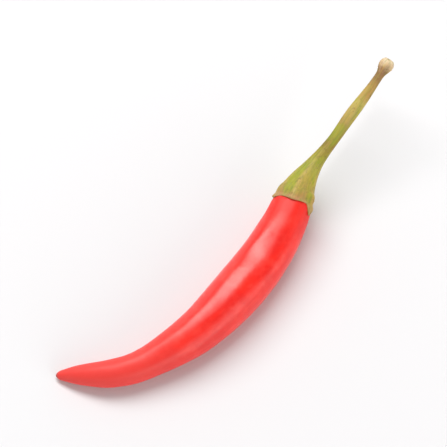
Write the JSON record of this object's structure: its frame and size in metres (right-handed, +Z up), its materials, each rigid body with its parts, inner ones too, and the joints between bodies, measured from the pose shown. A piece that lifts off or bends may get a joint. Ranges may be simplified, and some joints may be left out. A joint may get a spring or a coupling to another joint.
{
  "type": "chili pepper",
  "caption": "Slender curved fruit that tapers to a narrow tip, with a ribbed cup-shaped calyx and a thin stalk with a swollen end. Lies on its belly as picked.",
  "frame": {"origin": "on the surface that the pepper lies on, at the middle of the flat spot under the pod's belly", "axes": "+Z up from the surface; +X along the pepper, from the pod's tip at -X to the stalk's cut end at +X; +Y towards the inside of the pod's curve"},
  "size_m": [0.0847, 0.018, 0.0157],
  "materials": {
    "pod": "Taut waxy skin of a ripe red chili, smooth and glossy, stands in as glossy plastic.",
    "stalk": "Green stalk and calyx, softly ribbed, satin, with a pale dry end, stands in as matte plastic."
  },
  "bodies": {
    "root": {"pod": "pod", "stalk": "stalk"}
  },
  "joints": []
}
